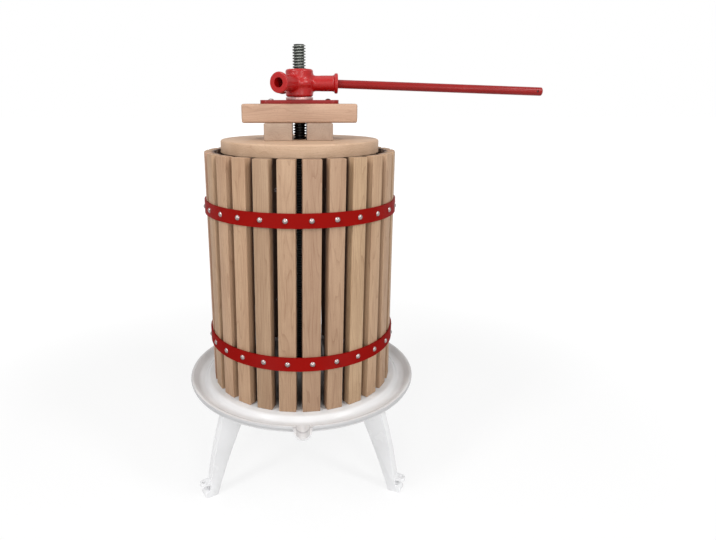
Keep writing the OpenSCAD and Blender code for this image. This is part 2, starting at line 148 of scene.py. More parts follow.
def floorFinish():
    # matt near the object, where shadows fall, and plain white far from it
    finish = bpy.data.materials.new("studioFloor")
    finish.use_nodes = True
    tree = finish.node_tree
    tree.nodes.clear()
    diffuse = tree.nodes.new("ShaderNodeBsdfDiffuse")
    diffuse.inputs["Color"].default_value = studio["floorColor"]
    glow = tree.nodes.new("ShaderNodeEmission")
    glow.inputs["Color"].default_value = studio["white"]
    glow.inputs["Strength"].default_value = studio["floorWhite"]
    place = tree.nodes.new("ShaderNodeTexCoord")
    distance = tree.nodes.new("ShaderNodeVectorMath")
    distance.operation = "LENGTH"
    tree.links.new(place.outputs["Object"], distance.inputs[0])
    fade = tree.nodes.new("ShaderNodeMapRange")
    fade.interpolation_type = "SMOOTHSTEP"
    fade.inputs["From Min"].default_value, fade.inputs["From Max"].default_value = studio["floorReach"]
    fade.inputs["To Min"].default_value, fade.inputs["To Max"].default_value = studio["floorGlow"]
    tree.links.new(distance.outputs["Value"], fade.inputs["Value"])
    share = tree.nodes.new("ShaderNodeMath")
    share.operation = "MULTIPLY"
    tree.links.new(seenDirectly(tree), share.inputs[0])
    tree.links.new(fade.outputs[0], share.inputs[1])
    mix = tree.nodes.new("ShaderNodeMixShader")
    out = tree.nodes.new("ShaderNodeOutputMaterial")
    tree.links.new(share.outputs[0], mix.inputs[0])
    tree.links.new(diffuse.outputs[0], mix.inputs[1])
    tree.links.new(glow.outputs[0], mix.inputs[2])
    tree.links.new(mix.outputs[0], out.inputs[0])
    return finish


def buildStudio():
    buildWorld()
    bm = bmesh.new()
    bmesh.ops.create_grid(bm, x_segments=1, y_segments=1, size=studio["floorSize"] / 2)
    mesh = bpy.data.meshes.new("studioFloor")
    bm.to_mesh(mesh)
    bm.free()
    mesh.materials.append(floorFinish())
    floor = bpy.data.objects.new("studioFloor", mesh)
    scene.collection.objects.link(floor)

    aim = Vector(studio["aim"])
    for name, place, width, tall, watts in studio["lamps"]:
        data = bpy.data.lights.new(name, "AREA")
        data.shape = "RECTANGLE"
        data.size = width
        data.size_y = tall
        data.energy = watts
        lamp = bpy.data.objects.new(name, data)
        lamp.location = place
        lamp.rotation_euler = (aim - Vector(place)).to_track_quat("-Z", "Y").to_euler()
        scene.collection.objects.link(lamp)
    print("studio built")


# node helpers
def put(tree, kind, **values):
    # a node with named sockets or properties set
    made = tree.nodes.new(kind)
    for key, value in values.items():
        if hasattr(made, key):
            setattr(made, key, value)
        else:
            made.inputs[key].default_value = value
    return made


def newGroup(name, inputs, outputs):
    group = bpy.data.node_groups.new(name, "ShaderNodeTree")
    for label, kind, value in inputs:
        socket = group.interface.new_socket(name=label, in_out="INPUT", socket_type=kind)
        if value is not None:
            socket.default_value = value
    for label, kind in outputs:
        group.interface.new_socket(name=label, in_out="OUTPUT", socket_type=kind)
    return group, group.nodes.new("NodeGroupInput"), group.nodes.new("NodeGroupOutput")


def mapped(tree, vector, scale):
    node = put(tree, "ShaderNodeMapping")
    node.inputs["Scale"].default_value = scale
    tree.links.new(vector, node.inputs["Vector"])
    return node.outputs[0]


def noiseOn(tree, vector, scale=1.0, detail=2.0, roughness=0.5):
    node = put(tree, "ShaderNodeTexNoise", Scale=scale, Detail=detail, Roughness=roughness)
    tree.links.new(vector, node.inputs["Vector"])
    return node.outputs["Fac"]


def remapped(tree, value, fromLow, fromHigh, toLow=0.0, toHigh=1.0):
    # carries one range over to another and stops at its ends
    node = put(tree, "ShaderNodeMapRange")
    node.inputs["From Min"].default_value = fromLow
    node.inputs["From Max"].default_value = fromHigh
    node.inputs["To Min"].default_value = toLow
    node.inputs["To Max"].default_value = toHigh
    tree.links.new(value, node.inputs["Value"])
    return node.outputs[0]


def maths(tree, operation, first, second=None):
    node = tree.nodes.new("ShaderNodeMath")
    node.operation = operation
    for socket, value in zip(node.inputs, (first, second)):
        if value is None:
            continue
        if isinstance(value, (int, float)):
            socket.default_value = value
        else:
            tree.links.new(value, socket)
    return node.outputs[0]


def mixed(tree, share, first, second, blend="MIX"):
    node = tree.nodes.new("ShaderNodeMix")
    node.data_type = "RGBA"
    node.blend_type = blend
    colorSockets = (node.inputs[6], node.inputs[7])  # the sockets before them are for numbers and vectors
    for socket, value in zip((node.inputs[0], *colorSockets), (share, first, second)):
        if isinstance(value, (int, float, tuple)):
            socket.default_value = value
        else:
            tree.links.new(value, socket)
    return node.outputs[2]


def objectPlace(tree):
    return put(tree, "ShaderNodeTexCoord").outputs["Object"]


def inMillimetres(tree, vector):
    return mapped(tree, vector, (1000, 1000, 1000))


def axisDistance(tree, place):
    # how far a point lies from the spindle's axis, in metres
    node = put(tree, "ShaderNodeVectorMath", operation="LENGTH")
    tree.links.new(mapped(tree, place, (1, 1, 0)), node.inputs[0])
    return node.outputs["Value"]


noiseSpan = (0.2, 0.8)  # holds nearly all of a noise's values
skinOutputs = [
    ("Color", "NodeSocketColor"),
    ("Roughness", "NodeSocketFloat"),
    ("Height", "NodeSocketFloat"),
]

# beech: growth rings about a far pith, short dark flecks, slow drifts of tone, and painted shade inside a
# radius, where the inside of the cage lies in shade
beechGrain = {
    # how fast a pattern changes in each millimetre, across and along the grain
    "swayRate": (0.05, 0.05, 0.006),
    "ringRate": (1, 1, 0.03),
    "streakRate": (0.9, 0.9, 0.02),
    "driftRate": (0.06, 0.06, 0.008),
    "fleckRate": (2.6, 2.6, 0.42),
    "swayReach": 26.0,  # millimetres by which the rings wander
    "ringWidth": 3.1,
    "lateWood": (0.55, 1.0),  # the part of a ring that darkens
    "lateCurve": 2.0,
    "streakRange": (0.3, 0.75),
    "driftRange": (0.3, 0.7),
    "fleckRange": (0.6, 0.72),
    # how far each pattern darkens the wood
    "lateShare": 0.42,
    "streakShare": 0.44,
    "driftShare": 0.34,
    "fleckShare": 0.42,
    "fleckColor": (0.22, 0.12, 0.07, 1),
    "greenCast": (0.99, 1.02, 0.95, 1),  # at hue 0
    "pinkCast": (1.03, 0.95, 0.96, 1),  # at hue 1
    "toneDepth": 0.55,  # of the brightness, lost at tone 1
    # painted shade: the inner part of each stave, inside the cage, turns a near black brown
    "paintedShadeFade": (-0.003, 0.001),  # metres inside the painted shade's radius
    "paintedShadeShare": 0.85,
    "paintedShadeColor": (0.05, 0.02, 0.012, 1),
    "roughness": (0.5, 0.66),
    "fleckHeight": -0.6,
    "streakHeight": 0.5,
    "bump": (0.35, 0.0002),
}


def woodGroup():
    group, start, end = newGroup(
        "beechGrain",
        [
            ("Grain", "NodeSocketVector", None),
            ("Tone", "NodeSocketFloat", 0.0),
            ("Hue", "NodeSocketFloat", 0.5),
            ("Painted Shade Radius", "NodeSocketFloat", 0.0),
            ("Pale", "NodeSocketColor", (0.6, 0.43, 0.28, 1)),
            ("Dark", "NodeSocketColor", (0.42, 0.27, 0.16, 1)),
        ],
        skinOutputs,
    )
    look = beechGrain
    grain = inMillimetres(group, start.outputs["Grain"])
    sway = noiseOn(group, mapped(group, grain, look["swayRate"]))
    radial = put(group, "ShaderNodeVectorMath", operation="LENGTH")
    group.links.new(mapped(group, grain, look["ringRate"]), radial.inputs[0])
    distance = maths(group, "ADD", radial.outputs["Value"], maths(group, "MULTIPLY", sway, look["swayReach"]))
    ring = maths(group, "FRACT", maths(group, "DIVIDE", distance, look["ringWidth"]))
    late = maths(group, "POWER", remapped(group, ring, *look["lateWood"]), look["lateCurve"])
    streak = noiseOn(group, mapped(group, grain, look["streakRate"]), detail=3.0, roughness=0.6)
    drift = noiseOn(group, mapped(group, grain, look["driftRate"]), detail=1.0)
    fleck = noiseOn(group, mapped(group, grain, look["fleckRate"]), detail=1.0)
    fleck = remapped(group, fleck, *look["fleckRange"])

    share = maths(group, "MULTIPLY", late, look["lateShare"])
    for pattern, limits, depth in (
        (streak, look["streakRange"], look["streakShare"]),
        (drift, look["driftRange"], look["driftShare"]),
    ):
        share = maths(group, "ADD", share, maths(group, "MULTIPLY", remapped(group, pattern, *limits), depth))
    share = maths(group, "MINIMUM", maths(group, "MAXIMUM", share, 0.0), 1.0)
    color = mixed(group, share, start.outputs["Pale"], start.outputs["Dark"])
    color = mixed(group, maths(group, "MULTIPLY", fleck, look["fleckShare"]), color, look["fleckColor"])
    cast = mixed(group, start.outputs["Hue"], look["greenCast"], look["pinkCast"])
    color = mixed(group, 1.0, color, cast, "MULTIPLY")
    lost = maths(group, "MULTIPLY", start.outputs["Tone"], look["toneDepth"])
    scaled = put(group, "ShaderNodeVectorMath", operation="SCALE")
    group.links.new(color, scaled.inputs[0])
    group.links.new(maths(group, "SUBTRACT", 1.0, lost), scaled.inputs["Scale"])
    # painted shade inside the radius, where the cage's inside lies in shade
    inward = maths(group, "SUBTRACT", start.outputs["Painted Shade Radius"], axisDistance(group, objectPlace(group)))
    paintedShade = remapped(group, inward, *look["paintedShadeFade"], 0.0, look["paintedShadeShare"])
    color = mixed(group, paintedShade, scaled.outputs[0], look["paintedShadeColor"])
    group.links.new(color, end.inputs["Color"])
    group.links.new(remapped(group, streak, *noiseSpan, *look["roughness"]), end.inputs["Roughness"])
    sunk = maths(group, "MULTIPLY", fleck, look["fleckHeight"])
    height = maths(group, "ADD", sunk, maths(group, "MULTIPLY", streak, look["streakHeight"]))
    group.links.new(height, end.inputs["Height"])
    return group


# paint or enamel: slow clouds of tone, orange peel, painted shade inside a radius and a painted band of shade
# past another
coatSkin = {
    "cloudRate": 0.03,
    "cloudRange": (0.35, 0.7),
    "cloudShare": 0.6,
    "paintedShadeFade": (-0.004, 0.012),  # metres inside the painted shade's radius
    "paintedShadeShare": 0.8,
    "paintedShadeColor": (0.06, 0.044, 0.037, 1),
    "shadeBandStart": (-0.0003, 0.0003),  # metres past the painted shade band's radius
    "shadeBandFade": (0.002, 0.005),
    "shadeBandRest": 0.2,
    "shadeBandTint": (0.72, 0.72, 0.725, 1),
    "roughFactor": (0.85, 1.2),
}


def coatGroup():
    group, start, end = newGroup(
        "coatSkin",
        [
            ("Color", "NodeSocketColor", (0.5, 0.5, 0.5, 1)),
            ("Shade", "NodeSocketColor", (0.4, 0.4, 0.4, 1)),
            ("Grain Size", "NodeSocketFloat", 2.0),
            ("Roughness", "NodeSocketFloat", 0.2),
            ("Painted Shade Radius", "NodeSocketFloat", 0.0),
            ("Shade Band Radius", "NodeSocketFloat", 9.0),
        ],
        skinOutputs,
    )
    look = coatSkin
    place = objectPlace(group)
    reach = axisDistance(group, place)
    place = inMillimetres(group, place)
    cloud = noiseOn(group, place, look["cloudRate"])
    peel = put(group, "ShaderNodeTexNoise", Detail=2.0, Roughness=0.5)
    group.links.new(place, peel.inputs["Vector"])
    group.links.new(maths(group, "DIVIDE", 1.0, start.outputs["Grain Size"]), peel.inputs["Scale"])
    share = remapped(group, cloud, *look["cloudRange"], 0.0, look["cloudShare"])
    color = mixed(group, share, start.outputs["Color"], start.outputs["Shade"])
    # painted shade inside a radius, such as the tray floor under the cage
    inward = maths(group, "SUBTRACT", start.outputs["Painted Shade Radius"], reach)
    paintedShade = remapped(group, inward, *look["paintedShadeFade"], 0.0, look["paintedShadeShare"])
    color = mixed(group, paintedShade, color, look["paintedShadeColor"])
    # painted shade on the outer skirt below the tray's rim, lighter further out
    outward = maths(group, "SUBTRACT", reach, start.outputs["Shade Band Radius"])
    begun = remapped(group, outward, *look["shadeBandStart"])
    shadeBand = maths(group, "MULTIPLY", begun, remapped(group, outward, *look["shadeBandFade"], 1.0, look["shadeBandRest"]))
    color = mixed(group, shadeBand, color, look["shadeBandTint"], "MULTIPLY")
    group.links.new(color, end.inputs["Color"])
    factor = remapped(group, cloud, *noiseSpan, *look["roughFactor"])
    group.links.new(maths(group, "MULTIPLY", start.outputs["Roughness"], factor), end.inputs["Roughness"])
    group.links.new(peel.outputs["Fac"], end.inputs["Height"])
    return group


# bare steel: fine turned or drawn lines, duller patches, painted shade in the thread's roots and painted
# shade below a height
steelSkin = {
    "patchRate": 0.35,
    "patchRange": (0.4, 0.75),
    "lineRate": (0.6, 0.6, 9.0),
    "lowShadeFade": (-0.01, 0.01),  # metres below the painted shade's height
    "lowShadeShare": 0.85,
    "lowShadeColor": (0.012, 0.012, 0.013, 1),
    "rootShadeFade": (-0.0004, 0.0006),  # metres inside the painted root shade's radius
    "rootShadeShare": 0.9,
    "rootShadeColor": (0.03, 0.032, 0.03, 1),
    "roughFactor": (0.7, 1.4),
}


def metalGroup():
    group, start, end = newGroup(
        "steelSkin",
        [
            ("Color", "NodeSocketColor", (0.6, 0.6, 0.6, 1)),
            ("Shade", "NodeSocketColor", (0.3, 0.3, 0.3, 1)),
            ("Roughness", "NodeSocketFloat", 0.3),
            ("Shade Height", "NodeSocketFloat", 0.0),
            ("Root Shade Radius", "NodeSocketFloat", 0.0),
        ],
        skinOutputs,
    )
    look = steelSkin
    place = objectPlace(group)
    height = put(group, "ShaderNodeSeparateXYZ")
    group.links.new(place, height.inputs[0])
    # painted shade below a height, where the spindle runs inside the cage and beam
    below = maths(group, "SUBTRACT", start.outputs["Shade Height"], height.outputs["Z"])
    lowShade = remapped(group, below, *look["lowShadeFade"], 0.0, look["lowShadeShare"])
    # painted shade in the thread's roots, inside a radius
    inward = maths(group, "SUBTRACT", start.outputs["Root Shade Radius"], axisDistance(group, place))
    rootShade = remapped(group, inward, *look["rootShadeFade"], 0.0, look["rootShadeShare"])
    place = inMillimetres(group, place)
    patch = noiseOn(group, place, look["patchRate"], detail=3.0, roughness=0.6)
    lines = noiseOn(group, mapped(group, place, look["lineRate"]), detail=1.0)
    share = remapped(group, patch, *look["patchRange"])
    color = mixed(group, share, start.outputs["Color"], start.outputs["Shade"])
    color = mixed(group, rootShade, color, look["rootShadeColor"])
    group.links.new(mixed(group, lowShade, color, look["lowShadeColor"]), end.inputs["Color"])
    factor = remapped(group, patch, *noiseSpan, *look["roughFactor"])
    group.links.new(maths(group, "MULTIPLY", start.outputs["Roughness"], factor), end.inputs["Roughness"])
    group.links.new(lines, end.inputs["Height"])
    return group


groups = {"wood": woodGroup(), "coat": coatGroup(), "metal": metalGroup()}


def newMaterial(name, group, values, bump, **shader):
    # a skin group with its own values; bump is the strength and the height in metres
    material = bpy.data.materials.new(name)
    material.use_nodes = True
    tree = material.node_tree
    principled = tree.nodes["Principled BSDF"]
    for key, value in shader.items():
        principled.inputs[key].default_value = value
    skin = put(tree, "ShaderNodeGroup", node_tree=groups[group])
    for key, value in values.items():
        skin.inputs[key].default_value = value
    tree.links.new(skin.outputs["Color"], principled.inputs["Base Color"])
    tree.links.new(skin.outputs["Roughness"], principled.inputs["Roughness"])
    if bump:
        relief = put(tree, "ShaderNodeBump", Strength=bump[0], Distance=bump[1])
        tree.links.new(skin.outputs["Height"], relief.inputs["Height"])
        tree.links.new(relief.outputs[0], principled.inputs["Normal"])
    return material


def beech(name, pale, dark, paintedShadeRadius=0.0):
    values = {"Pale": pale, "Dark": dark, "Painted Shade Radius": paintedShadeRadius}
    material = newMaterial(name, "wood", values, bump=beechGrain["bump"])
    tree = material.node_tree
    skin = next(node for node in tree.nodes if node.type == "GROUP")
    for attribute, socket, output in (
        ("grain", "Grain", "Vector"),
        ("tone", "Tone", "Fac"),
        ("hue", "Hue", "Fac"),
    ):
        reader = put(tree, "ShaderNodeAttribute", attribute_name=attribute)
        tree.links.new(reader.outputs[output], skin.inputs[socket])
    return material


finishes = {
    # the staves' inner part, inside the cage, gets painted shade
    "stave": beech("beechStave", (0.46, 0.307, 0.20, 1), (0.275, 0.155, 0.09, 1), paintedShadeRadius=0.1315),
    "block": beech("beechBlock", (0.56, 0.385, 0.265, 1), (0.38, 0.24, 0.155, 1)),
    "blockEnds": beech("beechBlockEnds", (0.435, 0.322, 0.248, 1), (0.30, 0.205, 0.152, 1)),
    "disc": beech("beechDisc", (0.57, 0.405, 0.28, 1), (0.42, 0.275, 0.175, 1)),
    # the floor inside the cage gets painted shade, and the skirt below the rim a painted band of shade
    "enamel": newMaterial(
        "whiteEnamel", "coat",
        {
            "Color": (0.745, 0.74, 0.742, 1), "Shade": (0.72, 0.714, 0.713, 1),
            "Grain Size": 5.0, "Roughness": 0.15, "Painted Shade Radius": 0.124, "Shade Band Radius": 0.1813,
        },
        bump=(0.04, 0.0003), **{"Specular IOR Level": 0.15},
    ),
    "casting": newMaterial(
        "whiteCasting", "coat",
        {
            "Color": (0.92, 0.92, 0.93, 1), "Shade": (0.88, 0.88, 0.88, 1),
            "Grain Size": 1.6, "Roughness": 0.25,
        },
        bump=(0.12, 0.0003),
    ),
    "headRed": newMaterial(
        "headRed", "coat",
        {
            "Color": (0.4, 0.003, 0.003, 1), "Shade": (0.33, 0.002, 0.002, 1),
            "Grain Size": 3.5, "Roughness": 0.34,
        },
        bump=None, **{"Specular IOR Level": 0.42},
    ),
    "hoopRed": newMaterial(
        "hoopRed", "coat",
        {
            "Color": (0.245, 0.004, 0.0025, 1), "Shade": (0.205, 0.0035, 0.0025, 1),
            "Grain Size": 3.0, "Roughness": 0.42,
        },
        bump=(0.08, 0.0002), **{"Specular IOR Level": 0.04},
    ),
    "plateRed": newMaterial(
        "plateRed", "coat",
        {
            "Color": (0.26, 0.007, 0.005, 1), "Shade": (0.22, 0.005, 0.004, 1),
            "Grain Size": 2.0, "Roughness": 0.3,
        },
        bump=(0.1, 0.0002), **{"Specular IOR Level": 0.3},
    ),
    "barRed": newMaterial(
        "barRed", "coat",
        {
            "Color": (0.27, 0.009, 0.008, 1), "Shade": (0.21, 0.007, 0.006, 1),
            "Grain Size": 3.0, "Roughness": 0.3,
        },
        bump=(0.08, 0.0002), **{"Specular IOR Level": 0.2},
    ),
    "zinc": newMaterial(
        "zincSteel", "metal",
        {"Color": (0.66, 0.67, 0.66, 1), "Shade": (0.45, 0.46, 0.45, 1), "Roughness": 0.3},
        bump=(0.05, 0.0001), Metallic=1.0,
    ),
    "rivet": newMaterial(
        "rivetSteel", "metal",
        {"Color": (0.36, 0.31, 0.30, 1), "Shade": (0.2, 0.17, 0.17, 1), "Roughness": 0.26},
        bump=(0.03, 0.0001), Metallic=1.0,
    ),
    # painted shade in the thread's roots and below the top of the beam
    "thread": newMaterial(
        "threadSteel", "metal",
        {
            "Color": (0.21, 0.22, 0.2, 1), "Shade": (0.14, 0.15, 0.135, 1),
            "Roughness": 0.4, "Shade Height": 0.63, "Root Shade Radius": 0.0088,
        },
        bump=(0.03, 0.0001), Metallic=1.0,
    ),
    # its pink tint is a painted reflection of the red head and plate beside it
    "ring": newMaterial(
        "turnedSteel", "metal",
        {"Color": (0.50, 0.31, 0.29, 1), "Shade": (0.42, 0.23, 0.22, 1), "Roughness": 0.5},
        bump=(0.1, 0.0001), Metallic=1.0,
    ),
}
print("finishes made")


# mesh helpers
edgeAngle = 38  # degrees, an edge that turns more stays sharp
mergeReach = 2e-6  # metres
flatAngle = 0.4  # degrees, faces that turn less are one
touchReach = 1e-6  # metres, points this near are the same where a turned piece closes


def finishPiece(name, bm, body, finish, stands=(), sharpAngle=edgeAngle):
    # a closed mesh in its place, smooth but for its sharp edges
    mesh = bpy.data.meshes.new(name)
    bm.to_mesh(mesh)
    bm.free()
    mesh.materials.append(finish)
    mesh.shade_smooth()
    mesh.set_sharp_from_angle(angle=math.radians(sharpAngle))
    piece = bpy.data.objects.new(name, mesh)
    scene.collection.objects.link(piece)
    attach(piece, body)
    if stands:
        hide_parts(*stands)
    return piece


def roundEdges(bm, width, segments=3, angle=30):
    # rounds the edges that turn by more than an angle
    limit = math.radians(angle)
    sharp = [e for e in bm.edges if len(e.link_faces) == 2 and e.calc_face_angle() > limit]
    bmesh.ops.bevel(
        bm, geom=sharp, offset=width, offset_type="OFFSET", affect="EDGES",
        segments=segments, profile=0.5, material=-1, clamp_overlap=True,
    )


def copyNode(nodeName):
    # a CAD node's mesh with its doubles merged and its flat faces whole
    bm = bmesh.new()
    bm.from_mesh(nodes[nodeName].data)
    bmesh.ops.remove_doubles(bm, verts=bm.verts, dist=mergeReach)
    bmesh.ops.dissolve_limit(bm, angle_limit=math.radians(flatAngle), verts=bm.verts, edges=bm.edges)
    return bm


def softened(nodeName, body, finish, width, segments=3, angle=30):
    # a CAD node's own mesh with its edges rounded
    bm = copyNode(nodeName)
    roundEdges(bm, width, segments, angle)
    name = "".join(part.capitalize() for part in nodeName.split("_"))
    return finishPiece(name[0].lower() + name[1:] + "Skin", bm, body, finish, (nodeName,))


def dress(nodeNames, finish):
    # CAD nodes that are shown as they are, in a finish
    for nodeName in nodeNames:
        nodes[nodeName].data.materials.clear()
        nodes[nodeName].data.materials.append(finish)


# how much one board differs from the next
board = {
    "slope": 2.5,  # degrees between the grain and the board
    "pithReach": (40, 95),  # millimetres from the board's middle to the pith
    "shift": 3,  # metres along the grain
    "tone": 0.2,
}


def spread(reach):
    return rng.uniform(-reach, reach)


def markGrain(bm, grainAxis, ringSide=None):
    # stores where each point lies in its own plank, with the grain along z
    turn = Vector(grainAxis).rotation_difference(Vector((0, 0, 1))).to_matrix()
    slope = Matrix.Rotation(math.radians(spread(board["slope"])), 3, "Y")
    turn = slope @ Matrix.Rotation(math.radians(spread(board["slope"])), 3, "X") @ turn
    side = rng.uniform(0, 2 * math.pi) if ringSide is None else ringSide
    pith = Vector((math.cos(side), math.sin(side), 0)) * rng.uniform(*board["pithReach"]) * mm
    pith.z = spread(board["shift"])
    grainLayer = bm.verts.layers.float_vector.new("grain")
    toneLayer = bm.verts.layers.float.new("tone")
    hueLayer = bm.verts.layers.float.new("hue")
    tone = spread(board["tone"])
    hue = rng.uniform(0, 1)
    for vert in bm.verts:
        vert[grainLayer] = turn @ vert.co + pith
        vert[toneLayer] = tone
        vert[hueLayer] = hue


def plank(size, edge, grainAxis, segments=3, ringSide=None):
    # a planed length of beech about the origin, its edges eased
    bm = bmesh.new()
    bmesh.ops.create_cube(bm, size=1)
    bmesh.ops.scale(bm, vec=size, verts=bm.verts)
    bmesh.ops.bevel(
        bm, geom=bm.edges[:], offset=edge, offset_type="OFFSET", affect="EDGES",
        segments=segments, profile=0.5, material=-1,
    )
    markGrain(bm, grainAxis, ringSide)
    return bm


def drilled(piece, cutters):
    # applies a piece's modifiers and cuts closed meshes out of it
    holders = []
    for number, bm in enumerate(cutters):
        mesh = bpy.data.meshes.new(f"cutter{number}")
        bm.to_mesh(mesh)
        bm.free()
        holder = bpy.data.objects.new(f"cutter{number}", mesh)
        scene.collection.objects.link(holder)
        cut = piece.modifiers.new(f"cut{number}", "BOOLEAN")
        cut.operation = "DIFFERENCE"
        cut.solver = "EXACT"
        cut.object = holder
        holders.append(holder)
    bpy.context.view_layer.update()
    depsgraph = bpy.context.evaluated_depsgraph_get()
    mesh = bpy.data.meshes.new_from_object(piece.evaluated_get(depsgraph))
    piece.modifiers.clear()
    old = piece.data
    piece.data = mesh
    bpy.data.meshes.remove(old)
    for holder in holders:
        data = holder.data
        bpy.data.objects.remove(holder)
        bpy.data.meshes.remove(data)
    mesh.set_sharp_from_angle(angle=math.radians(edgeAngle))
    return piece


def rod(radius, length, matrix, segments=48):
    # a plain closed cylinder that runs from the matrix's origin along its z
    bm = bmesh.new()
    bmesh.ops.create_cone(
        bm, cap_ends=True, segments=segments, radius1=radius, radius2=radius, depth=length,
    )
    bmesh.ops.translate(bm, vec=(0, 0, length / 2), verts=bm.verts)
    bmesh.ops.transform(bm, matrix=matrix, verts=bm.verts)
    return bm


# cage
cage = {
    "count": 26,
    "turn": -1.15,  # degrees, brings a gap almost to the front
    "face": 143.5 * mm,  # from the spindle's axis to a stave's outer face
    "width": 23 * mm,
    "widthSpread": 0.3,  # millimetres
    "thickness": 15 * mm,
    "edge": 0.6 * mm,
    "twistSpread": 0.6,  # degrees about the stave's own length
    "lean": 0.57,  # degrees, the whole cage is a little wrung
    "leanSpread": 0.1,
    "hoopEdge": 0.5 * mm,
    "wideStaves": {1: 25.3 * mm, 12: 25 * mm, 26: 24.4 * mm},
    "shifted": {12: 1.0 * mm},  # along the hoops, toward the next stave
    "boards": {  # tone and hue where a board stands out; the lighter side boards and darker front boards are partly real board tone, partly painted light
        22: (-0.2, 0.2), 23: (-0.25, 0.5), 24: (-0.3, 0.4), 25: (0.12, 0.3), 26: (-0.02, 0.4),
        1: (0.16, 0.6), 2: (0.04, 0.5), 3: (-0.33, 0.0), 4: (-0.3, 0.3), 5: (-0.12, 0.4),
    },
}


def buildStaves():
    low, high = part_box("stave_01")
    length = high[2] - low[2]
    pitch = 360 / cage["count"]
    for number in range(1, cage["count"] + 1):
        wide = cage["wideStaves"].get(number, cage["width"] + spread(cage["widthSpread"]) * mm)
        bm = plank((wide, cage["thickness"], length), cage["edge"], (0, 0, 1))
        twist = Matrix.Rotation(math.radians(spread(cage["twistSpread"])), 4, "Z")
        lean = Matrix.Rotation(math.radians(cage["lean"] + spread(cage["leanSpread"])), 4, "Y")
        turn = Matrix.Rotation(math.radians(cage["turn"] + (number - 0.5) * pitch), 4, "Z")
        place = Matrix.Translation(
            (cage["shifted"].get(number, 0), -cage["face"] + cage["thickness"] / 2, low[2] + length / 2)
        )
        bmesh.ops.transform(bm, matrix=turn @ place @ lean @ twist, verts=bm.verts)
        tone, hue = bm.verts.layers.float["tone"], bm.verts.layers.float["hue"]
        for vert in bm.verts:
            vert[tone], vert[hue] = cage["boards"].get(number, (vert[tone], vert[hue]))
        node = f"stave_{number:02d}"
        finishPiece(f"stave{number:02d}", bm, "cage", finishes["stave"], (node,))
    print("staves built")


def buildHoops():
    for node in ("hoop_upper", "hoop_lower"):
        softened(node, "cage", finishes["hoopRed"], cage["hoopEdge"], segments=2)
    dress(("rivets_upper", "rivets_lower"), finishes["rivet"])
    print("hoops built")


# pressing stack
stack = {
    "bore": 10.6 * mm,
    "beamEdge": 3.0 * mm,
    "beamPith": 1.2,  # radians, the side of the board where its pith lies
    "blockEdge": 1.2 * mm,
    "blockGrown": {"left": (1.6 * mm, 0), "right": (0.6 * mm, -2.2 * mm)},  # they aren't a pair
    "discRound": 3.0 * mm,
    "discEdge": 0.8 * mm,
    "discSteps": 72,  # in half a turn
    "discPith": 1.45,
    "plateEdge": 1.2 * mm,
    "ringEdge": 0.5 * mm,
}
cutPast = 2 * mm  # how far a cutter reaches past a face


def boxPlank(node, name, edge, grainAxis, finish, ringSide=None, grown=(0, 0)):
    # a plank as large as its node, grown at its low and high X end
    low, high = (Vector(corner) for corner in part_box(node))
    low.x -= grown[0]
    high.x += grown[1]
    bm = plank(high - low, edge, grainAxis, segments=4, ringSide=ringSide)
    bmesh.ops.translate(bm, vec=(low + high) / 2, verts=bm.verts)
    return finishPiece(name, bm, "carriage", finish, (node,))


def uprightBore(radius, low, high):
    # a cutter on the spindle's axis, past both heights
    return rod(radius, high - low + 2 * cutPast, Matrix.Translation((0, 0, low - cutPast)), segments=64)


def buildBeam():
    beam = boxPlank(
        "beam", "beamPlank", stack["beamEdge"], (1, 0, 0),
        finishes["block"], stack["beamPith"],
    )
    low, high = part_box("beam")
    drilled(beam, [uprightBore(stack["bore"], low[2], high[2])])
    for side in ("left", "right"):
        boxPlank(
            f"block_{side}", f"block{side.capitalize()}", stack["blockEdge"], (0, 1, 0),
            finishes["blockEnds"], grown=stack["blockGrown"][side],
        )
    print("beam and blocks built")


def buildDisc():
    low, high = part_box("disc_front")
    radius = (high[0] - low[0]) / 2
    for node, name, start in (("disc_front", "discFront", 0), ("disc_rear", "discRear", math.pi)):
        bm = bmesh.new()
        corners = [(stack["bore"], low[2]), (radius, low[2]), (radius, high[2]), (stack["bore"], high[2])]
        verts = [bm.verts.new((x, 0, z)) for x, z in corners]
        bm.faces.new(verts)
        bmesh.ops.bevel(
            bm, geom=[verts[2]], offset=stack["discRound"], offset_type="OFFSET", affect="VERTICES",
            segments=6, profile=0.5, material=-1,
        )
        bottom = [v for v in bm.verts if (v.co - Vector((radius, 0, low[2]))).length < touchReach]
        bmesh.ops.bevel(
            bm, geom=bottom, offset=stack["discEdge"], offset_type="OFFSET", affect="VERTICES",
            segments=2, profile=0.5, material=-1,
        )
        bmesh.ops.spin(
            bm, geom=bm.faces[:] + bm.edges[:] + bm.verts[:], cent=(0, 0, 0), axis=(0, 0, 1),
            angle=-math.pi, steps=stack["discSteps"], use_merge=False, use_duplicate=False,
        )
        bmesh.ops.rotate(bm, cent=(0, 0, 0), matrix=Matrix.Rotation(start, 3, "Z"), verts=bm.verts)
        bmesh.ops.remove_doubles(bm, verts=bm.verts, dist=touchReach)
        bmesh.ops.recalc_face_normals(bm, faces=bm.faces)
        markGrain(bm, (1, 0, 0), stack["discPith"])
        finishPiece(name, bm, "carriage", finishes["disc"], (node,))
    print("disc built")


def buildPlate():
    softened("pressure_plate", "carriage", finishes["plateRed"], stack["plateEdge"])
    softened("thrust_ring", "carriage", finishes["ring"], stack["ringEdge"])
    dress(("plate_screws",), finishes["rivet"])
    print("plate built")


# spindle
spindle = {
    "pitch": 4 * mm,
    "crest": 9.7 * mm,
    "root": 7.4 * mm,
    "crestShare": 0.3,  # of the pitch
    "flankShare": 0.18,
    "steps": 36,
    "chamfer": 2 * mm,
    "startBelow": 1.5,  # turns below the foot where the swept thread starts
    "spareTurns": 2,
    "mergeReach": 0.01 * mm,
    "edgeAngle": 20,  # degrees, the thread's flanks stay crisp
}


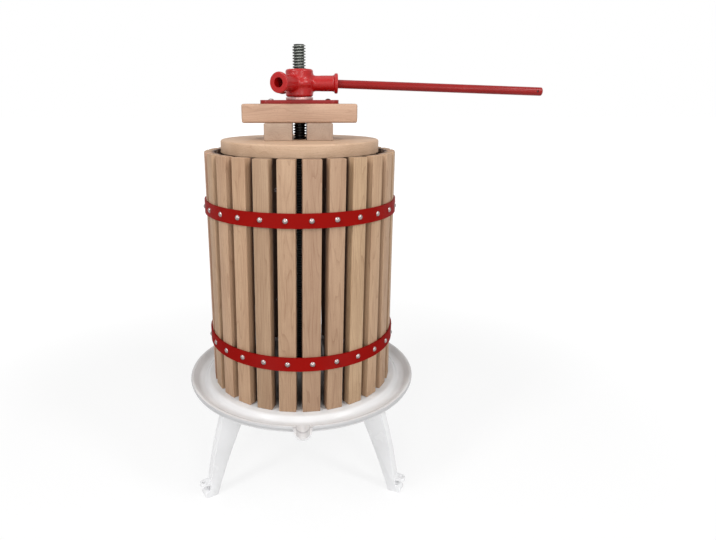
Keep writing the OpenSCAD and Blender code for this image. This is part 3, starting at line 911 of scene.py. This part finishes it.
def buildSpindle():
    # a thread profile is swept one turn, so that its turns join end to end, and cut off at both heights
    low, high = (corner[2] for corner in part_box("spindle"))
    pitch = spindle["pitch"]
    flank = spindle["flankShare"]
    crest = spindle["crestShare"]
    turns = math.ceil((high - low) / pitch) + spindle["spareTurns"]
    bm = bmesh.new()
    last = None
    for turn in range(turns):
        z = low - spindle["startBelow"] * pitch + turn * pitch
        for radius, share in (
            (spindle["root"], 0), (spindle["crest"], flank), (spindle["crest"], flank + crest),
            (spindle["root"], 2 * flank + crest),
        ):
            vert = bm.verts.new((radius, 0, z + share * pitch))
            if last:
                bm.edges.new((last, vert))
            last = vert
    bmesh.ops.spin(
        bm, geom=bm.verts[:] + bm.edges[:], cent=(0, 0, 0), axis=(0, 0, 1),
        dvec=(0, 0, pitch / spindle["steps"]), angle=2 * math.pi, steps=spindle["steps"],
        use_merge=False, use_duplicate=False,
    )
    bmesh.ops.remove_doubles(bm, verts=bm.verts, dist=spindle["mergeReach"])
    for height, normal in ((high, 1), (low, -1)):
        inner = height - normal * spindle["chamfer"]
        everything = bm.verts[:] + bm.edges[:] + bm.faces[:]
        bmesh.ops.bisect_plane(bm, geom=everything, plane_co=(0, 0, inner), plane_no=(0, 0, normal))
        everything = bm.verts[:] + bm.edges[:] + bm.faces[:]
        bmesh.ops.bisect_plane(
            bm, geom=everything, plane_co=(0, 0, height), plane_no=(0, 0, normal), clear_outer=True,
        )
        for vert in bm.verts:
            past = normal * (vert.co.z - inner)
            limit = spindle["crest"] - max(past, 0)
            reach = math.hypot(vert.co.x, vert.co.y)
            if past > 0 and reach > limit:
                vert.co.x *= limit / reach
                vert.co.y *= limit / reach
    rims = [edge for edge in bm.edges if edge.is_boundary]
    bmesh.ops.holes_fill(bm, edges=rims, sides=0)
    bmesh.ops.recalc_face_normals(bm, faces=bm.faces)
    finishPiece(
        "spindleThread", bm, "stand", finishes["thread"], ("spindle",), spindle["edgeAngle"],
    )
    print("spindle built")


# head
head = {
    "hubRadius": 20.5 * mm,
    "hubRound": 3.5 * mm,
    "barrelRadius": 11.5 * mm,
    "collarRadius": 14.75 * mm,
    "collarLength": 4.5 * mm,
    "flareSteps": 6,
    "barrelSteps": 72,
    "reach": 57 * mm,
    "socketHeight": 19.5 * mm,
    "socketBore": 7.1 * mm,
    "socketFloor": 13 * mm,
    "spindleBore": 9.8 * mm,
    "bellyRadius": 7 * mm,  # of the round swelling that joins the sockets
    "bellyMiddle": 17 * mm,  # from the spindle's axis
    "bellySteps": 12,
    "turnSteps": 64,
    "blendReach": (14 * mm, 32 * mm),  # from the axis, where the joints are filled softly
    "blendMargin": 4 * mm,  # kept crisp at the hub's top and bottom
    "softRounds": 44,
    "firstSocket": 89,  # degrees from the front toward +X
    "voxel": 0.7 * mm,
    "blendRounds": 16,
}


def socketTurns():
    return [Matrix.Rotation(math.radians(head["firstSocket"] + k * 120), 4, "Z") for k in range(3)]


def lathe(stations, steps):
    # points given by distance from the z axis and height, turned into a closed solid
    bm = bmesh.new()
    chain = [bm.verts.new((reach, 0, height)) for reach, height in stations]
    edges = [bm.edges.new(pair) for pair in zip(chain, chain[1:])]
    bmesh.ops.spin(
        bm, geom=chain + edges, cent=(0, 0, 0), axis=(0, 0, 1), angle=2 * math.pi, steps=steps,
        use_merge=True, use_duplicate=False,
    )
    bmesh.ops.remove_doubles(bm, verts=bm.verts, dist=touchReach)
    bmesh.ops.recalc_face_normals(bm, faces=bm.faces)
    return bm


def latheBarrel():
    # one socket's barrel with its hollow flare and thin collar, standing on the origin
    flare = head["collarRadius"] - head["barrelRadius"]
    start = head["reach"] - head["collarLength"]
    stations = [(0, 0), (head["barrelRadius"], 0)]
    for step in range(head["flareSteps"] + 1):
        angle = math.pi - step * math.pi / (2 * head["flareSteps"])
        stations.append(
            (head["collarRadius"] + flare * math.cos(angle), start - flare + flare * math.sin(angle))
        )
    stations += [(head["collarRadius"], head["reach"]), (0, head["reach"])]
    return lathe(stations, head["barrelSteps"])


def latheBelly():
    # a thick disc on the spindle's axis, its rim half a circle in section
    middle, radius, level = head["bellyMiddle"], head["bellyRadius"], head["socketHeight"]
    stations = [(0, level - radius)]
    for step in range(head["bellySteps"] + 1):
        angle = math.radians(-90 + step * 180 / head["bellySteps"])
        stations.append((middle + radius * math.cos(angle), level + radius * math.sin(angle)))
    stations.append((0, level + radius))
    return lathe(stations, head["turnSteps"])


def addTo(bm, part):
    # puts one bmesh's faces into another
    carrier = bpy.data.meshes.new("carrier")
    part.to_mesh(carrier)
    part.free()
    bm.from_mesh(carrier)
    bpy.data.meshes.remove(carrier)


def blendJoints(piece, low, high):
    # fills the hollows between hub and barrels as cast metal does
    bm = bmesh.new()
    bm.from_mesh(piece.data)
    inner, outer = head["blendReach"]
    low += head["blendMargin"]
    high -= head["blendMargin"]
    near = [
        vert for vert in bm.verts
        if inner < math.hypot(vert.co.x, vert.co.y) < outer and low < vert.co.z < high
    ]
    for _ in range(head["softRounds"]):
        bmesh.ops.smooth_vert(bm, verts=near, factor=0.5, use_axis_x=True, use_axis_y=True, use_axis_z=True)
    bm.to_mesh(piece.data)
    bm.free()


def buildHead():
    low, high = (Vector(corner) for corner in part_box("head"))
    height = high.z - low.z
    bm = bmesh.new()
    bmesh.ops.create_cone(
        bm, cap_ends=True, segments=head["turnSteps"], radius1=head["hubRadius"], radius2=head["hubRadius"],
        depth=height,
    )
    roundEdges(bm, head["hubRound"], segments=4, angle=60)
    bmesh.ops.translate(bm, vec=(0, 0, height / 2), verts=bm.verts)
    addTo(bm, latheBelly())
    outward = Matrix.Translation((0, 0, head["socketHeight"])) @ Matrix.Rotation(math.radians(90), 4, "X")
    for turn in socketTurns():
        barrel = latheBarrel()
        bmesh.ops.transform(barrel, matrix=turn @ outward, verts=barrel.verts)
        addTo(bm, barrel)
    bmesh.ops.translate(bm, vec=(0, 0, low.z), verts=bm.verts)
    casting = finishPiece("headCasting", bm, "head", finishes["headRed"], ("head",))
    fuse = casting.modifiers.new("fuse", "REMESH")
    fuse.mode = "VOXEL"
    fuse.voxel_size = head["voxel"]
    fuse.use_smooth_shade = True
    ease = casting.modifiers.new("ease", "SMOOTH")
    ease.factor = 0.5
    ease.iterations = head["blendRounds"]
    drilled(casting, [])
    blendJoints(casting, low.z, high.z)
    cutters = [uprightBore(head["spindleBore"], low.z, high.z)]
    floor = Matrix.Translation((0, 0, head["socketFloor"]))
    for turn in socketTurns():
        start = Matrix.Translation((0, 0, low.z)) @ turn @ outward @ floor
        cutters.append(rod(head["socketBore"], head["reach"], start))
    drilled(casting, cutters)
    print("head built")


# lever bar
bar = {
    "radius": 6.25 * mm,
    "length": 350 * mm,
    "steps": 64,
    "grip": 42.5 * mm,  # length held in the socket
    "gripMiddle": 35.75 * mm,  # from the spindle's axis
    "endRound": 2 * mm,
    "holeRadius": 1.5 * mm,
    "holeIn": 8 * mm,
}


def buildBar():
    slide = next(joint for joint in frame["joints"] if joint["name"] == "bar_slide")
    along = Vector(slide["axis"]).normalized()
    side = math.radians(head["firstSocket"])
    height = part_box("head")[0][2] + head["socketHeight"]
    middle = Vector((math.sin(side) * bar["gripMiddle"], -math.cos(side) * bar["gripMiddle"], height))
    start = middle - along * bar["grip"] / 2
    turn = along.to_track_quat("Z", "Y").to_matrix().to_4x4()
    bm = bmesh.new()
    bmesh.ops.create_cone(
        bm, cap_ends=True, segments=bar["steps"], radius1=bar["radius"], radius2=bar["radius"],
        depth=bar["length"],
    )
    roundEdges(bm, bar["endRound"], segments=5, angle=60)
    bmesh.ops.translate(bm, vec=(0, 0, bar["length"] / 2), verts=bm.verts)
    bmesh.ops.transform(bm, matrix=Matrix.Translation(start) @ turn, verts=bm.verts)
    lever = finishPiece("leverBar", bm, "bar", finishes["barRed"], ("lever_bar",))
    through = start + along * (bar["length"] - bar["holeIn"])
    aside = along.cross(Vector((0, 0, 1))).normalized()
    cutterStart = Matrix.Translation(through - aside * 2 * bar["radius"])
    cutterTurn = aside.to_track_quat("Z", "Y").to_matrix().to_4x4()
    drilled(lever, [rod(bar["holeRadius"], 4 * bar["radius"], cutterStart @ cutterTurn, segments=24)])
    print("bar built")


# stand
tray = {
    "foldRadius": 3.2 * mm,  # of the rim, as it was built
    "foldMiddle": (179.1 * mm, 175.3 * mm),  # distance from the axis and height
    "foldSlack": 0.25 * mm,  # how far off the fold a point may lie and still belong to it
    "cornerPower": 7,  # how nearly the fold comes to a square corner
    "edge": 0.7 * mm,
    "edgeTurn": 40,  # degrees, sharper edges are rounded
    "legEdge": 1.6 * mm,
    "legTurn": 35,
}


def squareRim(bm):
    # draws the round fold over the rim out to a tight corner
    reach, height = tray["foldMiddle"]
    for vert in bm.verts:
        radius = math.hypot(vert.co.x, vert.co.y)
        across, above = radius - reach, vert.co.z - height
        span = math.hypot(across, above)
        if across < 0 or above < 0 or abs(span - tray["foldRadius"]) > tray["foldSlack"]:
            continue
        power = tray["cornerPower"]
        grown = span / (abs(across / span) ** power + abs(above / span) ** power) ** (1 / power)
        factor = (reach + across * grown / span) / radius
        vert.co = (vert.co.x * factor, vert.co.y * factor, height + above * grown / span)


def buildStand():
    bm = copyNode("tray")
    squareRim(bm)
    roundEdges(bm, tray["edge"], angle=tray["edgeTurn"])
    finishPiece("traySkin", bm, "stand", finishes["enamel"], ("tray",))
    for node in ("leg_left", "leg_right", "leg_rear"):
        softened(node, "stand", finishes["casting"], tray["legEdge"], angle=tray["legTurn"])
    fasteners = ("leg_bolts", "leg_nuts", "spindle_nut_top", "spindle_washer", "spindle_nut_bottom")
    dress(fasteners, finishes["zinc"])
    print("stand built")


buildCamera()
buildStudio()
buildStand()
buildSpindle()
buildStaves()
buildHoops()
buildDisc()
buildBeam()
buildPlate()
buildHead()
buildBar()
